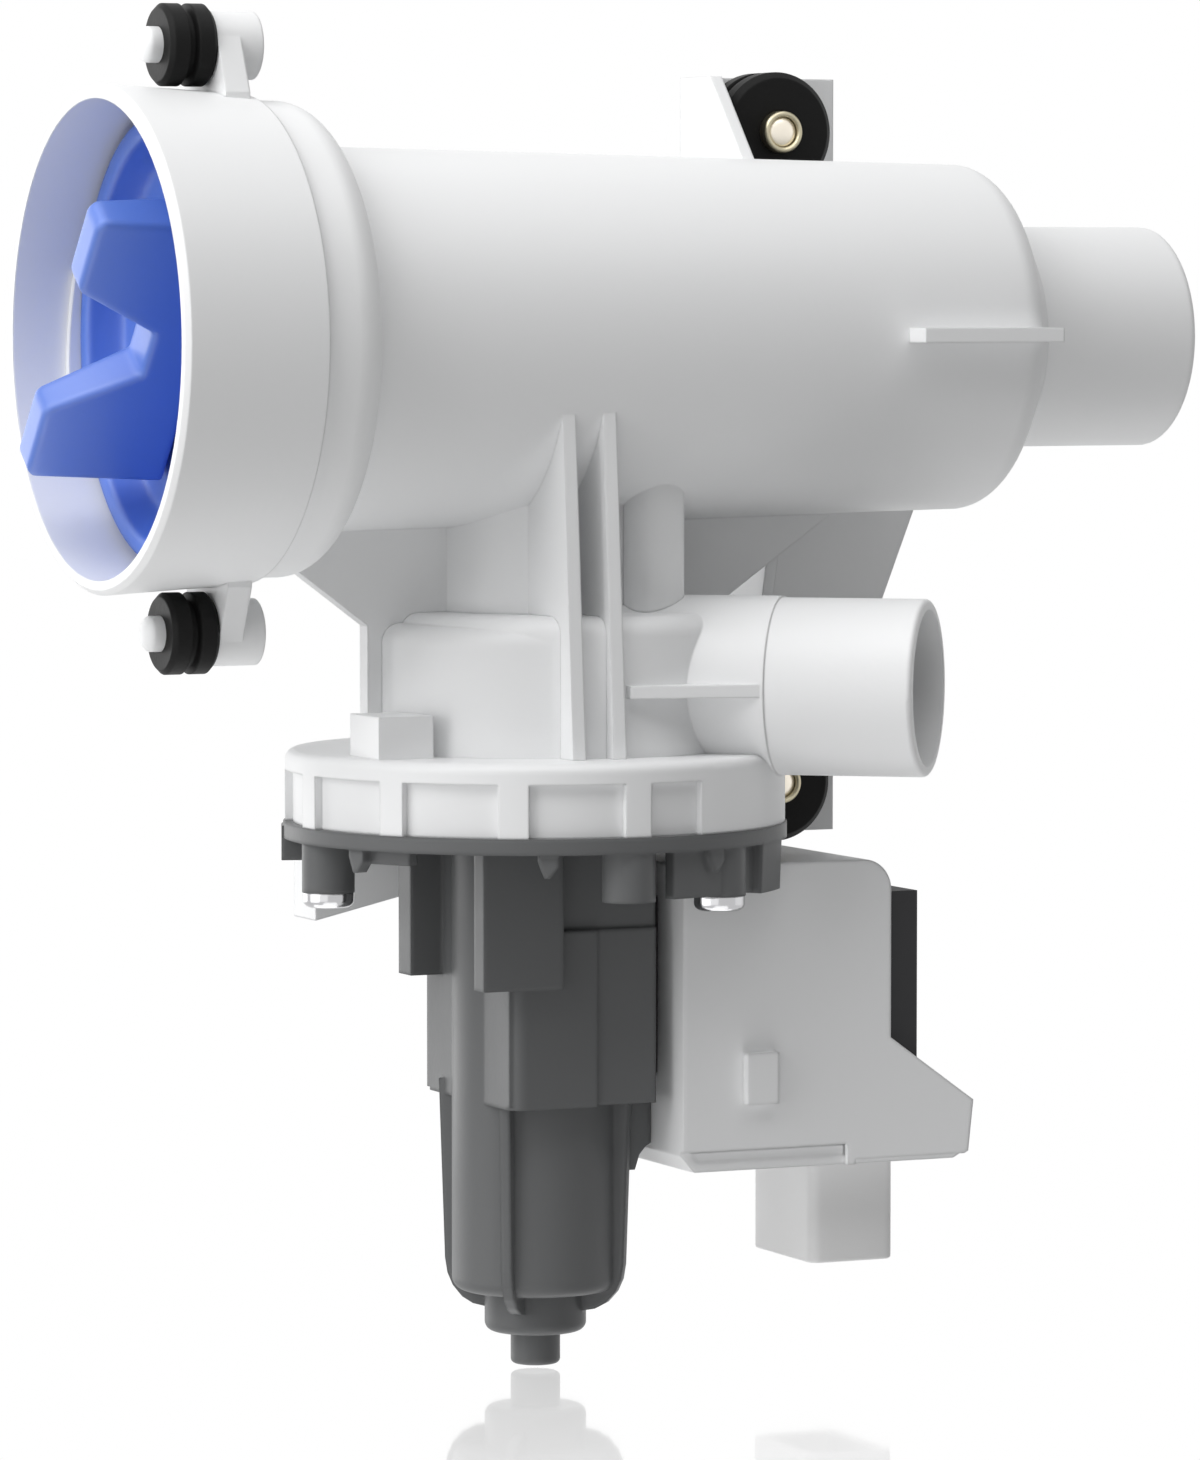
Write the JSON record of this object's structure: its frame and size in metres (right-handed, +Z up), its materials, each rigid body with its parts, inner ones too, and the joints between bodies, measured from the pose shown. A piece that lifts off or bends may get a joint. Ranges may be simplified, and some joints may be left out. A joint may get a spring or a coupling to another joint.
{
  "type": "washer drain pump",
  "caption": "Drain pump with a straight filter tube, quarter-turn filter cap, side outlet, hanging rubber mounts and a side coil motor.",
  "frame": {"origin": "on the axis of the inlet spigot, in the middle of its hose seat, 14.5 mm in from its mouth", "axes": "+Z up along the motor axis, away from the motor tip; +X out of the inlet along the filter tube; the outlet points toward +X and -Y"},
  "size_m": [0.1925, 0.098, 0.215],
  "materials": {
    "white_housing": "satin moulded",
    "grey_housing": "satin moulded",
    "black_rubber": "matt",
    "seal_rubber": "matt",
    "bearing_holder": "matt",
    "sintered_bronze": "satin",
    "lamination": "dull varnish",
    "bobbin": "matt",
    "copper_wire": "enamelled",
    "cover": "satin moulded",
    "shroud": "satin moulded",
    "tinned_blade": "tinned",
    "screw_steel": "bright",
    "brass_pin": "bright",
    "blue_cap": "satin moulded",
    "blue_strainer": "satin moulded",
    "shaft_steel": "ground",
    "magnet": "dull",
    "dog": "matt",
    "impeller": "matt"
  },
  "bodies": {
    "pump_body": {"filter_tube": "white_housing", "pump_chamber": "white_housing", "rear_bracket": "white_housing", "motor_housing": "grey_housing", "motor_seal": "seal_rubber", "front_bearing": "bearing_holder", "rear_bearing": "sintered_bronze", "stator_core": "lamination", "front_bobbin": "bobbin", "rear_bobbin": "bobbin", "front_winding": "copper_wire", "rear_winding": "copper_wire", "coil_cover": "cover", "connector_shroud": "shroud", "front_terminal": "tinned_blade", "rear_terminal": "tinned_blade", "left_screw": "screw_steel", "front_screw": "screw_steel", "rear_screw": "screw_steel", "front_upper_grommet": "black_rubber", "front_lower_grommet": "black_rubber", "rear_upper_grommet": "black_rubber", "rear_lower_grommet": "black_rubber", "rear_upper_pin": "brass_pin", "rear_lower_pin": "brass_pin"},
    "filter_ring": {"filter_seal": "seal_rubber"},
    "filter": {"filter_cap": "blue_cap", "filter_strainer": "blue_strainer"},
    "rotor": {"rotor_shaft": "shaft_steel", "rotor_magnet": "magnet", "drive_dog": "dog"},
    "impeller_wheel": {"impeller": "impeller"}
  },
  "joints": [
    {"name": "filter_advance", "type": "slide", "parent": "pump_body", "child": "filter_ring", "axis": [-1, 0, 0], "range_m": [0, 0.002]},
    {"name": "filter_turn", "type": "hinge", "parent": "filter_ring", "child": "filter", "pos_m": [-0.0955, 0, 0], "axis": [-1, 0, 0], "range_deg": [0, 60]},
    {"name": "rotor_spin", "type": "hinge", "parent": "pump_body", "child": "rotor", "pos_m": [-0.0955, 0, 0], "axis": [0, 0, 1], "continuous": true},
    {"name": "impeller_play", "type": "hinge", "parent": "rotor", "child": "impeller_wheel", "pos_m": [-0.0955, 0, 0], "axis": [0, 0, 1], "range_deg": [-143, 143]}
  ],
  "couplings": [
    {"joint": "filter_advance", "follows": "filter_turn", "m_per_rad": 0.0019099}
  ]
}
